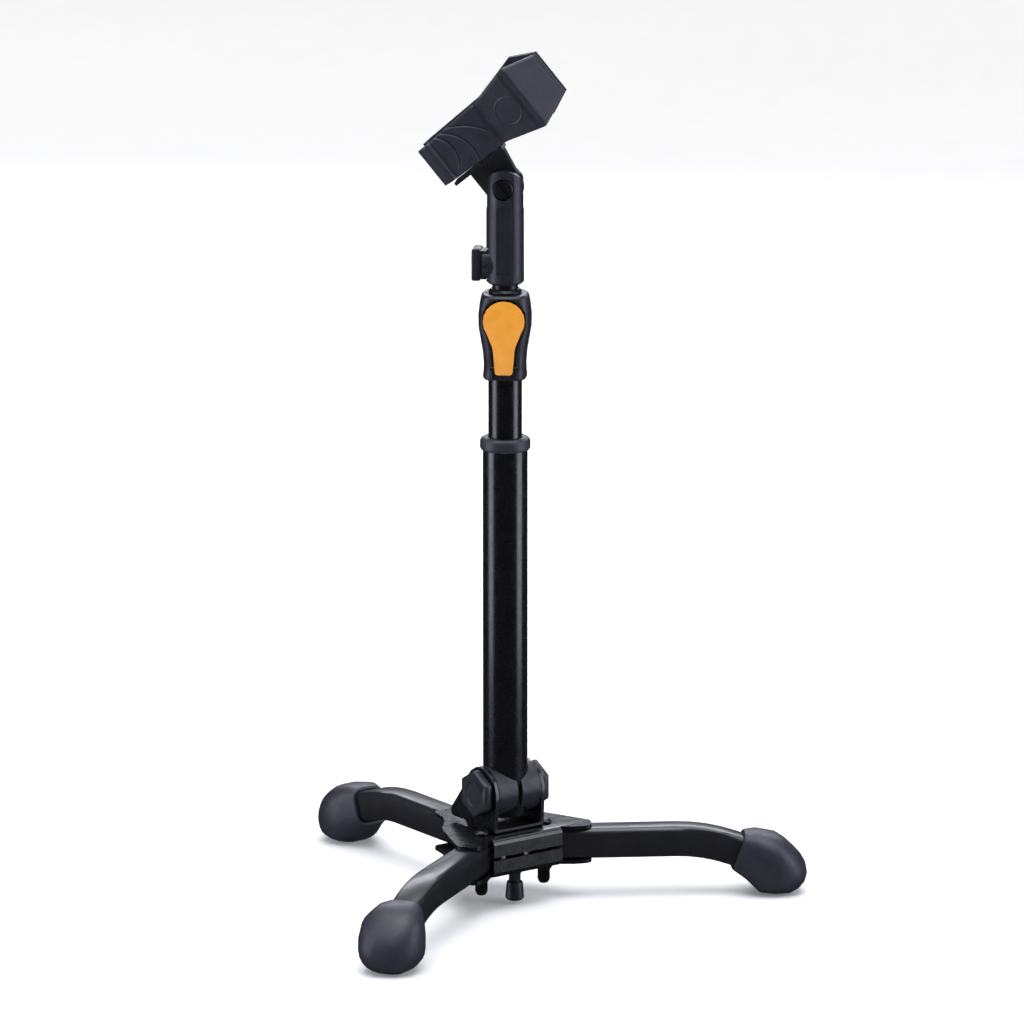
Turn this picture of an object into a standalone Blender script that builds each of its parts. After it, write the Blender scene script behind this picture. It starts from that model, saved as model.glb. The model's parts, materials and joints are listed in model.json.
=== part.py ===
"""Desktop microphone stand: folding tripod base, tilting two-stage mast, trigger clutch,
quick-release adaptor and spring clip.

Sizes are in millimetres. The helpers turn them into metres when a mesh is made. Positions are
measured from the mast's axis and the floor, and the root empty puts the whole stand so that the
origin is under the middle of its outline.
"""
import math

import bmesh
import bpy
from mathutils import Matrix, Vector

MM = 0.001

# ---------------------------------------------------------------- driving dimensions
CLEAR = 0.3                 # gap between pieces that touch
BOLT_GAP = 0.3              # radial gap between a pin or bolt and its hole

# hub plates
PLATE_BOTTOM = 20.9         # underside of the bottom plate above the floor
SHEET = 2.0                 # plate steel
PLATE_REAR = 49.0
PLATE_REAR_HALF = 15.5
SKIRT_FRONT = 22.5          # front face of the folded skirt, in front of the mast
SKIRT_GROOVE = 2.0          # gap between the two skirts

# legs
LEG_WIDTH = 17.5
LEG_HEIGHT = 17.8
LEG_WALL = 1.5
LEG_CORNER = 3.0
PIVOT_GAP = 0.4             # each leg bolt's head to the yoke
PIVOT_Y = -7.2
FRONT_LEG_ANGLE = 32.0      # each front leg points this far forward of sideways
REAR_REACH = 156.4          # mast axis to the rear foot's contact
FRONT_REACH = 133.8         # leg pivot to a front foot's contact
LEG_BEHIND_PIVOT = 9.0
REAR_LEG_START = 16.0
BEND_START = 58.0           # the leg starts to bend this far before the contact
BEND_END = 26.0
BEND_ANGLE = 20.0
LEG_END = 8.0               # the tube ends this far before the contact

# feet
FOOT_FLARE = 9.85           # wider than the leg each side
FOOT_CROWN = 14.3           # top of the boot above the leg's end
SOLE_CUT = 0.4              # trimmed off the boot's round underside
FOOT_TIP = 17.0             # tip beyond the contact

# leg bolts
LEG_BOLT_R = 3.0
BUSH_R = 4.6
BOLT_HEAD_R = 4.4
BOLT_HEAD_H = 2.4
NUT_DROP = 13.4             # acorn nut's height
NUT_FLANGE_R = 5.0
NUT_DOME_R = 3.6
REAR_BOLT_R = 2.5
REAR_BOLT_Y = (25.0, 42.0)

# leg lock screw
LOCK_KNOB_DROP = 8.3        # its shoulder below the bottom plate
LOCK_KNOB_LENGTH = 10.8
LOCK_Y = -9.2
LOCK_SCREW_R = 2.5
LOCK_KNOB_R = 5.4
SPACER_R = 5.5

# yoke and tilt joint
SADDLE_WALL = 2.3           # from the mast to each ear
TILT_RISE = 21.9            # tilt bolt above the yoke's underside
YOKE_SHEET = 2.2
EAR_R = 15.0
EAR_FRONT = 13.5
EAR_REAR = 30.0
RIVET_Y = 5.0
RIVET_R = 4.0
SADDLE_SPLIT = 1.6          # half the gap between the saddles
TILT_BOLT_R = 3.0
KNOB_FLATS = 24.0
KNOB_THICK = 5.0
TILT_NUT_FLATS = 10.0
TILT_NUT_THICK = 3.0

# mast
TUBE_BELOW_TILT = 14.1
OUTER_LENGTH = 216.9
PLUG_LENGTH = 28.6
COLLAR_WALL = 1.6
COLLAR_SKIRT = 3.9
COLLAR_RISE = 3.2
SLIP_GAP = 1.975            # between the outer tube's bore and the inner tube
INNER_SHOWN = 37.7          # inner tube between the outer tube and the clutch
INNER_SEATED = 12.0         # inner tube inside the clutch
INNER_LENGTH = 176.0
OUTER_R = 12.7
OUTER_WALL = 1.2
INNER_WALL = 1.2
BUSH_LENGTH = 18.0
CONE_LENGTH = 13.0
CONE_TIP_R = 4.2
CONE_BASE_GAP = 3.2         # cone's base inside the outer tube's bore
ROD_HEAD_RISE = 14.0        # push rod's head above the inner tube
ROD_R = 2.4
ROD_HEAD_R = 5.0
ROD_CONE_R = 4.0
ROD_FOOT_R = 4.0            # peened foot that holds the cone
SEAT_LENGTH = 8.0
ROD_SPRING_R = 3.9
ROD_SPRING_WIRE = 0.5

# clutch housing
CLUTCH_YAW = -39.5
HOUSING_HEIGHT = 48.5
FRONT_WALL = 4.075          # housing's front in front of the inner tube
REAR_WALL = 3.475
TRIGGER_DROP = 14.2         # pad's centre below the housing's top
TRIGGER_FOOT = 3.9          # tail's end above the housing's foot
TRIGGER_RECESS = 1.875      # back of the trigger in front of the inner tube
TRIGGER_THICK = 3.2
TRIGGER_PIN_RISE = 3.6      # pin above the tail's end
TRIGGER_R = 11.7
TRIGGER_TAIL_HALF = 5.4
TRIGGER_GAP = 1.3
TRIGGER_PIN_R = 0.9
TRIGGER_PIN_SIDE = 2.2      # pin beyond the tail on each side
TRIGGER_TRAVEL = 2.6        # room behind the round pad
TRIGGER_PAD_GAP = 0.6       # round the pad where it sinks into the housing
TRIGGER_TAIL_ROOM = 0.9     # room behind the tail
TRIGGER_TAIL_EDGE = 15.0    # from the pad's centre down to where the tail's room starts
CAVITY_R = 7.5
CAVITY_DROP = 11.5          # cavity's ceiling below the housing's top
SCREW_OUT = 1.875           # housing screws outside the inner tube's radius
SCREW_DROP = 6.5
SCREW_R = 1.1

# stud
STUD_R = 7.25
STUD_LENGTH = 20.0          # above the housing
STUD_NUT_FLARE = 2.15
STUD_NUT_HEIGHT = 2.7
ADAPTOR_GAP = 5.5           # adaptor above the housing
STUD_SHANK_R = 5.0

# adaptor
ADAPTOR_YAW = -43.0
ADAPTOR_WALL = 3.45
ADAPTOR_HEIGHT = 55.0       # from its foot to the tilt screw
PANEL_DEPTH = 1.0
PANEL_LIFT = 6.0
PANEL_DROP = 10.3
BUTTON_LIFT = 11.0
BUTTON_PIN_DEPTH = 0.7
BOSS_PROUD = 1.3
PAD_GAP = 2.5               # button pad outside the adaptor's wall
PAD_DEPTH = 5.2
DOME_DROP = 1.0             # centre of the fork's round top below its screw
PANEL_HALF = 3.85
RECESS_R = 6.2
RECESS_DEPTH = 2.5          # of each screw recess in the adaptor's side
FORK_SCREW_R = 2.5
FORK_SCREW_HEAD_R = 5.6
BUTTON_PIN_R = 0.8
BOSS_R = 9.15
WINDOW_HALF = 6.3
NUT_HALF = 5.4
PAD_HALF_HEIGHT = 9.15
PAD_HALF_DEPTH = 7.0
BUTTON_SPRING_R = 1.9

# clip
CLIP_TILT = 39.0            # the arm leans this far to the left of upright
ARM_HALF = 3.5
ARM_R = 10.4
ARM_TOP = 19.6              # foot plate's upper face above the fork screw
ARM_PLATE = 1.9
BARREL_HEIGHT = 5.0
CLIP_PIN_RISE = 26.4        # pin's end above the foot plate
JAW_LIFT = 14.8             # middle of the jaws above the foot plate
CLIP_PIN_A = 6.0            # hinge pin along the jaws from the fork screw
CLIP_PIN_R = 1.6
JAW_THICK = 2.6
KNUCKLE_R = 3.4
KNUCKLE_WIDTH = 3.4
PAD_THICK = 1.1
JAW_COIL_R = 2.9

# ---------------------------------------------------------------- worked out from them
YOKE_INNER = OUTER_R + SADDLE_WALL
YOKE_OUTER = YOKE_INNER + YOKE_SHEET
PIVOT_X = YOKE_OUTER + BOLT_HEAD_R + PIVOT_GAP
SKIRT_HALF = PIVOT_X + 2.0
FOOT_HALF_WIDTH = LEG_WIDTH / 2 + FOOT_FLARE
PLATE_LOW_TOP = PLATE_BOTTOM + SHEET
LEG_Z = PLATE_LOW_TOP + CLEAR + LEG_HEIGHT / 2
PLATE_HIGH_UNDER = LEG_Z + LEG_HEIGHT / 2 + CLEAR
PLATE_TOP = PLATE_HIGH_UNDER + SHEET
YOKE_BOTTOM = PLATE_TOP + CLEAR
YOKE_WEB_TOP = YOKE_BOTTOM + YOKE_SHEET
TILT_Z = YOKE_BOTTOM + TILT_RISE
RIVET_HEAD_R = RIVET_R + 2.5
LOCK_KNOB_TOP = PLATE_BOTTOM - LOCK_KNOB_DROP
LOCK_KNOB_BOTTOM = LOCK_KNOB_TOP - LOCK_KNOB_LENGTH
KNOB_INNER = YOKE_OUTER + CLEAR
KNOB_OUTER = KNOB_INNER + KNOB_THICK
TUBE_BORE = OUTER_R - OUTER_WALL
INNER_R = TUBE_BORE - SLIP_GAP
OUTER_BOTTOM = TILT_Z - TUBE_BELOW_TILT
OUTER_TOP = OUTER_BOTTOM + OUTER_LENGTH
PLUG_TOP = OUTER_BOTTOM + PLUG_LENGTH
COLLAR_R = OUTER_R + COLLAR_WALL
COLLAR_BOTTOM = OUTER_TOP - COLLAR_SKIRT
COLLAR_TOP = OUTER_TOP + COLLAR_RISE
HOUSING_BOTTOM = OUTER_TOP + INNER_SHOWN
HOUSING_TOP = HOUSING_BOTTOM + HOUSING_HEIGHT
HOUSING_FRONT = INNER_R + FRONT_WALL
HOUSING_REAR = INNER_R + REAR_WALL
INNER_TOP = HOUSING_BOTTOM + INNER_SEATED
INNER_BOTTOM = INNER_TOP - INNER_LENGTH
INNER_BORE = INNER_R - INNER_WALL
BUSH_TOP = INNER_BOTTOM - CLEAR
BUSH_BOTTOM = BUSH_TOP - BUSH_LENGTH
CONE_BOTTOM = BUSH_BOTTOM - 3.0
CONE_BASE_R = TUBE_BORE - CONE_BASE_GAP
ROD_HEAD_Z = INNER_TOP + ROD_HEAD_RISE
TRIGGER_Z = HOUSING_TOP - TRIGGER_DROP
TRIGGER_BOTTOM = HOUSING_BOTTOM + TRIGGER_FOOT
TRIGGER_PIN_Z = TRIGGER_BOTTOM + TRIGGER_PIN_RISE
TRIGGER_BACK = INNER_R + TRIGGER_RECESS
TRIGGER_FACE = TRIGGER_BACK + TRIGGER_THICK
CAVITY_TOP = HOUSING_TOP - CAVITY_DROP
SCREW_X = INNER_R + SCREW_OUT
SCREW_Z = HOUSING_TOP - SCREW_DROP
STUD_TOP = HOUSING_TOP + STUD_LENGTH
STUD_FLANGE_R = STUD_SHANK_R + 1.6
STUD_NUT_R = STUD_R + STUD_NUT_FLARE
STUD_NUT_TOP = HOUSING_TOP + STUD_NUT_HEIGHT
ADAPTOR_R = STUD_R + ADAPTOR_WALL
ADAPTOR_BOTTOM = HOUSING_TOP + ADAPTOR_GAP
FORK_Z = ADAPTOR_BOTTOM + ADAPTOR_HEIGHT
FORK_SLOT_HALF = ARM_HALF + CLEAR
RECESS_FLOOR = ADAPTOR_R - RECESS_DEPTH
NUT_OUT = 1.1 - ADAPTOR_R
NUT_IN = 6.4 - ADAPTOR_R
SPRING_OUT = 3.1 - ADAPTOR_R
SPRING_IN = 8.5 - ADAPTOR_R
PANEL_FACE = ADAPTOR_R - PANEL_DEPTH
PANEL_BOTTOM = ADAPTOR_BOTTOM + PANEL_LIFT
PANEL_TOP = FORK_Z - PANEL_DROP
BUTTON_Z = ADAPTOR_BOTTOM + BUTTON_LIFT
BUTTON_PIN_X = BUTTON_PIN_DEPTH - ADAPTOR_R
BOSS_END = ADAPTOR_R + BOSS_PROUD
PAD_INNER = ADAPTOR_R + PAD_GAP
PAD_OUTER = PAD_INNER + PAD_DEPTH
CLIP_PIN_TOP = ARM_TOP + CLIP_PIN_RISE
JAW_MIDDLE = ARM_TOP + JAW_LIFT
FOOT_SIDE = math.radians(FRONT_LEG_ANGLE)
FRONT_EXTENT = (-PIVOT_Y + (FRONT_REACH + 5.0) * math.sin(FOOT_SIDE)
                + (FOOT_HALF_WIDTH - 0.8) * math.cos(FOOT_SIDE))
MAST_Y = -(REAR_REACH + FOOT_TIP - FRONT_EXTENT) / 2


# ---------------------------------------------------------------- scene and helpers
def clear_scene():
    for old in list(bpy.data.objects):
        bpy.data.objects.remove(old, do_unlink=True)


clear_scene()
PARTS = bpy.data.collections.new("desktop_mic_stand")
CUTTERS = bpy.data.collections.new("cutters")
bpy.context.scene.collection.children.link(PARTS)
bpy.context.scene.collection.children.link(CUTTERS)

FINISHES = {                # colour, roughness, metallic
    "gloss_black": ((0.018, 0.018, 0.024), 0.22, 0.0),
    "satin_black": ((0.030, 0.030, 0.038), 0.45, 0.0),
    "rubber": ((0.022, 0.022, 0.028), 0.62, 0.0),
    "black_zinc": ((0.040, 0.040, 0.050), 0.35, 0.9),
    "steel": ((0.55, 0.55, 0.57), 0.30, 1.0),
    "yellow": ((0.90, 0.40, 0.045), 0.35, 0.0),
}


def finish(name, kind):
    colour, roughness, metallic = FINISHES[kind]
    material = bpy.data.materials.new(name + "_" + kind)
    material.use_nodes = True
    shader = material.node_tree.nodes["Principled BSDF"]
    shader.inputs["Base Color"].default_value = (*colour, 1.0)
    shader.inputs["Roughness"].default_value = roughness
    shader.inputs["Metallic"].default_value = metallic
    return material


def empty(name, parent=None, at=(0, 0, 0), turn=(0, 0, 0)):
    """A named axis. `turn` is in degrees."""
    holder = bpy.data.objects.new(name, None)
    CUTTERS.objects.link(holder)
    holder.parent = parent
    holder.location = Vector(at) * MM
    holder.rotation_euler = [math.radians(angle) for angle in turn]
    return holder


def shape(bm, smooth=35.0):
    """Turn a bmesh in millimetres into an unplaced object."""
    bmesh.ops.recalc_face_normals(bm, faces=bm.faces)
    bmesh.ops.scale(bm, vec=(MM, MM, MM), verts=bm.verts)
    mesh = bpy.data.meshes.new("shape")
    bm.to_mesh(mesh)
    bm.free()
    mesh.shade_smooth()
    mesh.set_sharp_from_angle(angle=math.radians(smooth))
    thing = bpy.data.objects.new("shape", mesh)
    CUTTERS.objects.link(thing)
    return thing


def box(low, high):
    bm = bmesh.new()
    bmesh.ops.create_cube(bm, size=1.0)
    low, high = Vector(low), Vector(high)
    bmesh.ops.scale(bm, vec=high - low, verts=bm.verts)
    bmesh.ops.translate(bm, vec=(low + high) / 2, verts=bm.verts)
    return shape(bm)


def rod(start, end, radius, end_radius=None, sides=24):
    """A cylinder or cone between two points."""
    start, end = Vector(start), Vector(end)
    along = end - start
    bm = bmesh.new()
    bmesh.ops.create_cone(bm, cap_ends=True, segments=sides, radius1=radius,
                          radius2=radius if end_radius is None else end_radius,
                          depth=along.length)
    aim = Vector((0, 0, 1)).rotation_difference(along).to_matrix().to_4x4()
    bmesh.ops.transform(bm, matrix=Matrix.Translation((start + end) / 2) @ aim, verts=bm.verts)
    return shape(bm)


def prism(centre, axis, flats, length, sides=6):
    """A hexagon bar with two flats level, from `centre` along `axis`."""
    bm = bmesh.new()
    across = flats / math.cos(math.pi / sides) / 2
    bmesh.ops.create_cone(bm, cap_ends=True, segments=sides, radius1=across, radius2=across,
                          depth=length)
    bmesh.ops.rotate(bm, cent=(0, 0, 0), matrix=Matrix.Rotation(math.pi / sides, 3, "Z"),
                     verts=bm.verts)
    axis = Vector(axis)
    aim = Vector((0, 0, 1)).rotation_difference(axis).to_matrix().to_4x4()
    place = Matrix.Translation(Vector(centre) + axis * length / 2)
    bmesh.ops.transform(bm, matrix=place @ aim, verts=bm.verts)
    return shape(bm, smooth=20.0)


def turned(profile, sides=32, closed=False):
    """A lathe profile of (radius, height) points, top to bottom, turned about Z."""
    bm = bmesh.new()
    verts = [bm.verts.new((r * MM, 0, z * MM)) for r, z in profile]
    loops = list(zip(verts, verts[1:]))
    if closed:
        loops.append((verts[-1], verts[0]))
    for first, second in loops:
        bm.edges.new((first, second))
    mesh = bpy.data.meshes.new("profile")
    bm.to_mesh(mesh)
    bm.free()
    thing = bpy.data.objects.new("profile", mesh)
    CUTTERS.objects.link(thing)
    screw = thing.modifiers.new("turn", "SCREW")
    screw.steps = sides
    screw.render_steps = sides
    screw.use_merge_vertices = True
    screw.merge_threshold = 0.00001
    screw.use_smooth_shade = True
    weld = thing.modifiers.new("weld", "WELD")
    weld.merge_threshold = 0.00001
    return thing


def ring(inner, outer, bottom, top, sides=32):
    """A plain tube about Z."""
    return turned([(outer, top), (outer, bottom), (inner, bottom), (inner, top)], sides, True)


def fillet(corners, step=30.0, closed=True):
    """Round (x, y, radius) corners with arcs. An open row keeps its two end points."""
    points = []
    count = len(corners)
    for index, (x, y, radius) in enumerate(corners):
        if not closed and index in (0, count - 1):
            points.append((x, y))
            continue
        here = Vector((x, y))
        before = (Vector(corners[index - 1][:2]) - here).normalized()
        after = (Vector(corners[(index + 1) % count][:2]) - here).normalized()
        turn = math.pi - before.angle(after)
        if radius <= 0 or turn < 0.02:
            points.append((x, y))
            continue
        middle = (before + after).normalized()
        centre = here + middle * (radius / math.cos(turn / 2))
        start = here + before * radius * math.tan(turn / 2) - centre
        steps = max(1, round(math.degrees(turn) / step))
        side = 1 if before.x * after.y - before.y * after.x < 0 else -1
        for number in range(steps + 1):
            angle = side * turn * number / steps
            spin = Vector((start.x * math.cos(angle) - start.y * math.sin(angle),
                           start.x * math.sin(angle) + start.y * math.cos(angle)))
            points.append(tuple(centre + spin))
    return points


def mesh_from_curve(thing):
    """Swap a curve object for a welded mesh object."""
    graph = bpy.context.evaluated_depsgraph_get()
    mesh = bpy.data.meshes.new_from_object(thing.evaluated_get(graph))
    bm = bmesh.new()
    bm.from_mesh(mesh)
    bmesh.ops.remove_doubles(bm, verts=bm.verts, dist=0.000005)
    bmesh.ops.recalc_face_normals(bm, faces=bm.faces)
    bm.to_mesh(mesh)
    bm.free()
    mesh.shade_smooth()
    mesh.set_sharp_from_angle(angle=math.radians(35))
    solid = bpy.data.objects.new("solid", mesh)
    solid.matrix_world = thing.matrix_world.copy()
    CUTTERS.objects.link(solid)
    bpy.data.objects.remove(thing, do_unlink=True)
    return solid


PLANES = {                  # columns: outline x, outline y, extrusion
    "XY": ((1, 0, 0), (0, 1, 0), (0, 0, 1)),
    "YZ": ((0, 1, 0), (0, 0, 1), (1, 0, 0)),
    "XZ": ((1, 0, 0), (0, 0, 1), (0, -1, 0)),
}


def slab(points, low, high, plane="XY"):
    """Extrude a closed outline. `low` and `high` are along the plane's extrusion direction."""
    curve = bpy.data.curves.new("outline", "CURVE")
    curve.dimensions = "2D"
    curve.fill_mode = "BOTH"
    spline = curve.splines.new("POLY")
    spline.points.add(len(points) - 1)
    for point, (x, y) in zip(spline.points, points):
        point.co = (x * MM, y * MM, 0, 1)
    spline.use_cyclic_u = True
    curve.extrude = (high - low) / 2 * MM
    thing = bpy.data.objects.new("outline", curve)
    CUTTERS.objects.link(thing)
    solid = mesh_from_curve(thing)
    across, up, out = (Vector(axis) for axis in PLANES[plane])
    matrix = Matrix((across, up, out)).transposed().to_4x4()
    matrix.translation = out * (low + high) / 2 * MM
    solid.data.transform(matrix)
    if matrix.determinant() < 0:
        solid.data.flip_normals()
    return solid


def loft(rings, caps=True):
    """Skin a row of closed point loops that all have the same count."""
    bm = bmesh.new()
    rows = [[bm.verts.new(point) for point in loop] for loop in rings]
    count = len(rows[0])
    for near, far in zip(rows, rows[1:]):
        for index in range(count):
            after = (index + 1) % count
            bm.faces.new((near[index], near[after], far[after], far[index]))
    if caps:
        bm.faces.new(rows[0])
        bm.faces.new(rows[-1])
    return shape(bm)


def wire(points, radius, resolution=2):
    """A round bar along a row of points."""
    curve = bpy.data.curves.new("wire", "CURVE")
    curve.dimensions = "3D"
    curve.bevel_depth = radius * MM
    curve.bevel_resolution = resolution
    curve.use_fill_caps = True
    spline = curve.splines.new("POLY")
    spline.points.add(len(points) - 1)
    for point, place in zip(spline.points, points):
        point.co = (*(Vector(place) * MM), 1)
    thing = bpy.data.objects.new("wire", curve)
    CUTTERS.objects.link(thing)
    return mesh_from_curve(thing)


def helix(radius, low, high, turns, per_turn=8):
    """Points of a coil about Z."""
    count = int(turns * per_turn)
    return [(radius * math.cos(2 * math.pi * n / per_turn),
             radius * math.sin(2 * math.pi * n / per_turn),
             low + (high - low) * n / count) for n in range(count + 1)]


def combine(target, others, operation):
    for other in others:
        other.parent = target
        other.hide_render = True
        other.display_type = "WIRE"
        step = target.modifiers.new(operation.lower(), "BOOLEAN")
        step.operation = operation
        step.solver = "EXACT"
        step.object = other
    return target


def cut(target, *others):
    return combine(target, others, "DIFFERENCE")


def fuse(target, *others):
    return combine(target, others, "UNION")


def keep(target, *others):
    return combine(target, others, "INTERSECT")


def soften(target, width, segments=2, angle=40.0):
    bevel = target.modifiers.new("bevel", "BEVEL")
    bevel.width = width * MM
    bevel.segments = segments
    bevel.limit_method = "ANGLE"
    bevel.angle_limit = math.radians(angle)
    return target


def piece(name, thing, kind, parent):
    """Name a finished shape, give it its material and hang it on its axis."""
    thing.name = name
    thing.data.name = name
    CUTTERS.objects.unlink(thing)
    PARTS.objects.link(thing)
    thing.data.materials.clear()
    thing.data.materials.append(finish(name, kind))
    thing.parent = parent
    return thing


# ---------------------------------------------------------------- axes
ROOT = empty("stand_axis", at=(0, MAST_Y, 0))
LEG_AXES = {
    "left": empty("left_leg_axis", ROOT, (-PIVOT_X, PIVOT_Y, 0), (0, 0, 180 + FRONT_LEG_ANGLE)),
    "right": empty("right_leg_axis", ROOT, (PIVOT_X, PIVOT_Y, 0), (0, 0, -FRONT_LEG_ANGLE)),
    "rear": empty("rear_leg_axis", ROOT, (0, 0, 0), (0, 0, 90)),
}
BOLT_AXES = {
    "left": empty("left_bolt_axis", ROOT, (-PIVOT_X, PIVOT_Y, 0)),
    "right": empty("right_bolt_axis", ROOT, (PIVOT_X, PIVOT_Y, 0)),
}
LOCK_AXIS = empty("lock_axis", ROOT, (0, LOCK_Y, 0))
TILT_AXIS = empty("tilt_axis", ROOT, (0, 0, TILT_Z))
MAST = empty("mast_axis", TILT_AXIS, (0, 0, -TILT_Z))
CLUTCH = empty("clutch_axis", MAST, turn=(0, 0, CLUTCH_YAW))
TRIGGER_AXIS = empty("trigger_axis", CLUTCH,
                     (0, -(TRIGGER_BACK + TRIGGER_FACE) / 2, TRIGGER_PIN_Z))
ADAPTOR = empty("adaptor_axis", MAST, turn=(0, 0, ADAPTOR_YAW))
BUTTON_AXIS = empty("button_axis", ADAPTOR, (BUTTON_PIN_X, 0, BUTTON_Z))
CLIP = empty("clip_axis", ADAPTOR, (0, 0, FORK_Z), (0, -CLIP_TILT, 0))
JAW_AXIS = empty("jaw_axis", CLIP, (CLIP_PIN_A, 0, 0))


# ---------------------------------------------------------------- base
def plate_outline():
    front = -SKIRT_FRONT
    right = [(PLATE_REAR_HALF, PLATE_REAR, 4), (PLATE_REAR_HALF + 3.5, PLATE_REAR - 17, 16),
             (PIVOT_X + 11, PLATE_REAR - 33, 16), (PIVOT_X + 25, front + 4.5, 4),
             (PIVOT_X + 19, front - 6, 5), (PIVOT_X + 9, front - 2, 4),
             (SKIRT_HALF, front + 3, 0.5)]
    left = [(-x, y, radius) for x, y, radius in reversed(right)]
    return fillet(right + left)


def hub_plate(name, outer, inner, groove):
    """One pressed plate. `outer` is its outside face, `inner` the one against the legs."""
    side = 1 if outer > inner else -1
    low, high = sorted((outer, inner))
    body = slab(plate_outline(), low, high)
    front = -SKIRT_FRONT
    fold = fillet([(front + 5, outer, 0), (front, outer, 3), (front, groove, 0),
                   (front + SHEET, groove, 0), (front + SHEET, inner, 1), (front + 5, inner, 0)])
    fuse(body, slab(fold, -SKIRT_HALF, SKIRT_HALF, "YZ"))
    reach = 12 * side
    holes = [(x, PIVOT_Y, LEG_BOLT_R) for x in (-PIVOT_X, PIVOT_X)]
    holes += [(0, y, REAR_BOLT_R) for y in REAR_BOLT_Y]
    holes += [(0, LOCK_Y, LOCK_SCREW_R)]
    if side > 0:
        holes += [(0, RIVET_Y, RIVET_R)]
    for x, y, radius in holes:
        cut(body, rod((x, y, outer + reach), (x, y, inner - reach / 2), radius + BOLT_GAP,
                      sides=16))
    return piece(name, body, "gloss_black", ROOT)


def base_plates():
    middle = LEG_Z
    hub_plate("top_plate", PLATE_TOP, PLATE_HIGH_UNDER, middle + SKIRT_GROOVE / 2)
    hub_plate("bottom_plate", PLATE_BOTTOM, PLATE_LOW_TOP, middle - SKIRT_GROOVE / 2)


def leg_path(start, reach):
    """The leg's centreline as (distance, height, slope) stations."""
    bend = reach - BEND_START
    length = BEND_START - BEND_END
    radius = length / math.sin(math.radians(BEND_ANGLE))
    stations = [(start, LEG_Z, 0.0)]
    steps = 4
    for number in range(steps + 1):
        angle = math.radians(BEND_ANGLE) * number / steps
        stations.append((bend + radius * math.sin(angle),
                         LEG_Z - radius * (1 - math.cos(angle)), angle))
    last, height, angle = stations[-1]
    run = reach - LEG_END - last
    stations.append((reach - LEG_END, height - run * math.tan(angle), angle))
    return stations


def leg_rings(stations, grow=0.0):
    """Rounded rectangles square to the leg's centreline."""
    half_w, half_h = LEG_WIDTH / 2 + grow, LEG_HEIGHT / 2 + grow
    radius = LEG_CORNER + grow
    section = fillet([(half_w, half_h, radius), (-half_w, half_h, radius),
                      (-half_w, -half_h, radius), (half_w, -half_h, radius)], step=45)
    return [[(x + up * math.sin(slope), across, z + up * math.cos(slope)) for across, up in section]
            for x, z, slope in stations]


def leg_height(distance):
    """Centreline height at a distance before the contact, on the straight end."""
    radius = (BEND_START - BEND_END) / math.sin(math.radians(BEND_ANGLE))
    drop = radius * (1 - math.cos(math.radians(BEND_ANGLE)))
    return LEG_Z - drop - (BEND_END - distance) * math.tan(math.radians(BEND_ANGLE))


def leg(name, start, reach, holes, hole_r, parent):
    body = loft(leg_rings(leg_path(start, reach)), caps=False)
    wall = body.modifiers.new("wall", "SOLIDIFY")
    wall.thickness = LEG_WALL * MM
    wall.offset = -1.0
    wall.use_rim = True
    low, high = LEG_Z - LEG_HEIGHT, LEG_Z + LEG_HEIGHT
    for place in holes:
        cut(body, rod((place, 0, low), (place, 0, high), hole_r + BOLT_GAP, sides=16))
    return piece(name, body, "satin_black", parent)


def foot(name, reach, parent):
    """A rubber boot: a loft along the leg from its mouth to its tip, flat where it stands."""
    mouth = BEND_END - 3.6
    mouth_z = leg_height(mouth)
    crown = leg_height(LEG_END) + FOOT_CROWN
    wide = FOOT_HALF_WIDTH
    # before the contact, underside, top, half width, slope, squareness
    sections = [(mouth, mouth_z - LEG_HEIGHT / 2 - 2.3, mouth_z + LEG_HEIGHT / 2 + 2.3,
                 LEG_WIDTH / 2 + 2.15, BEND_ANGLE, 4.0),
                (15.0, 8.4, crown + 2.6, LEG_WIDTH / 2 + 5.85, 14, 3.4),
                (8.0, 0.6, crown + 1.2, wide - 0.9, 8, 3.0),
                (1.0, -SOLE_CUT, crown, wide, 2, 2.8),
                (-6.0, 0.1 - SOLE_CUT, crown - 3.3, wide - 1.4, -4, 2.6),
                (-11.0, 2.0, crown - 7.4, wide - 4.4, -7, 2.4),
                (-15.0, 5.8, crown - 12.0, wide - 8.4, -8, 2.2),
                (-FOOT_TIP, 10.0, crown - 16.6, wide * 0.28, -8, 2.0)]
    rings = []
    count = 24
    for before, under, top, half_w, slope, square in sections:
        height, half_h = (top + under) / 2, (top - under) / 2
        slope = math.radians(slope)
        loop = []
        for number in range(count):
            angle = 2 * math.pi * (number + 0.5) / count
            c, s = math.cos(angle), math.sin(angle)
            across = half_w * math.copysign(abs(c) ** (2 / square), c)
            up = half_h * math.copysign(abs(s) ** (2 / square), s)
            loop.append((reach - before + up * math.sin(slope), across,
                         height + up * math.cos(slope)))
        rings.append(loop)
    body = loft(rings)
    straight = [(reach - mouth - 12, leg_height(mouth + 12), math.radians(BEND_ANGLE)),
                (reach - LEG_END + CLEAR, leg_height(LEG_END), math.radians(BEND_ANGLE))]
    cut(body, loft(leg_rings(straight, CLEAR)),
        box((reach - 60, -40, -20), (reach + 40, 40, 0)))
    return piece(name, body, "rubber", parent)


def legs():
    leg("rear_leg", REAR_LEG_START, REAR_REACH, REAR_BOLT_Y, REAR_BOLT_R, LEG_AXES["rear"])
    foot("rear_foot", REAR_REACH, LEG_AXES["rear"])
    for side in ("left", "right"):
        leg(side + "_leg", -LEG_BEHIND_PIVOT, FRONT_REACH, (0,), BUSH_R, LEG_AXES[side])
        foot(side + "_foot", FRONT_REACH, LEG_AXES[side])


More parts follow.
